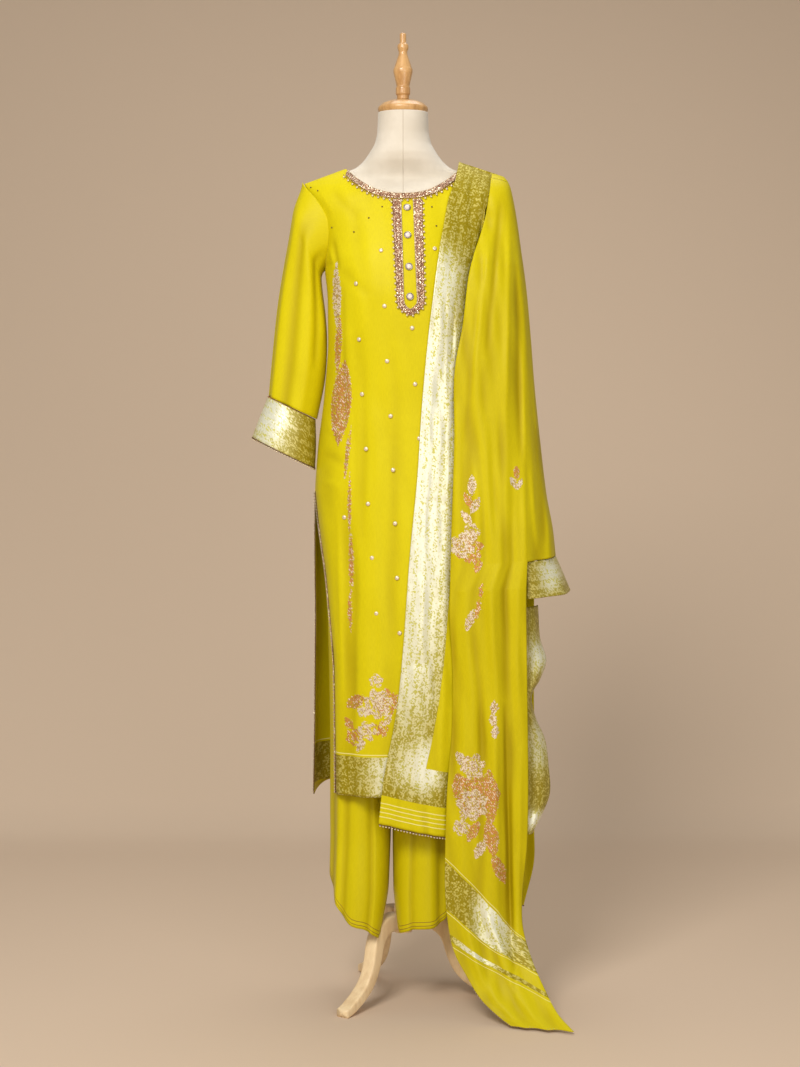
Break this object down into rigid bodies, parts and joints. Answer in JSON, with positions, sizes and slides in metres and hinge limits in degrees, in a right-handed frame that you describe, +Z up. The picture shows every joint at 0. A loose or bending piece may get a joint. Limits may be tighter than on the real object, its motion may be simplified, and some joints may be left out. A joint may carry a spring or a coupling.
{
  "type": "salwar kameez suit on a dress form",
  "caption": "Three-piece salwar kameez suit, kameez, straight trousers and draped dupatta, worn by a limbless dress form on a wooden tripod stand.",
  "frame": {"origin": "middle of the bounding box's underside, on the floor between the stand's feet and the dupatta's tail", "axes": "+Z up, the wearer faces -Y, the wearer's left is +X"},
  "size_m": [0.5912, 0.43, 1.788],
  "materials": {
    "kameez_silk": "satin",
    "dupatta_silk": "satin",
    "zari": "metallic brocade",
    "beading": "beaded",
    "stone": "gloss",
    "form_cover": "matte",
    "turned_wood": "varnished",
    "stand_wood": "satin",
    "steel": "satin"
  },
  "bodies": {
    "root": {"kameez_front": "kameez_silk", "kameez_back": "kameez_silk", "sleeve_right": "kameez_silk", "sleeve_left": "kameez_silk", "cuff_right": "zari", "cuff_left": "zari", "neck_trim_front": "beading", "neck_trim_back": "beading", "placket_trim": "beading", "button_1": "stone", "button_2": "stone", "button_3": "stone", "button_4": "stone", "slit_trim_front_right": "beading", "slit_trim_front_left": "beading", "slit_trim_back_right": "beading", "slit_trim_back_left": "beading", "trouser_leg_right": "kameez_silk", "trouser_leg_left": "kameez_silk", "waistband": "kameez_silk", "dupatta_front_inner": "dupatta_silk", "dupatta_front_outer": "dupatta_silk", "dupatta_back": "dupatta_silk", "dupatta_side_border": "zari", "dupatta_cascade": "dupatta_silk", "dress_form_body": "form_cover", "wood_cap": "turned_wood", "wood_finial": "turned_wood", "stand_pole": "steel", "stand_hub": "stand_wood", "tripod_leg_1": "stand_wood", "tripod_leg_2": "stand_wood", "tripod_leg_3": "stand_wood"}
  },
  "joints": []
}
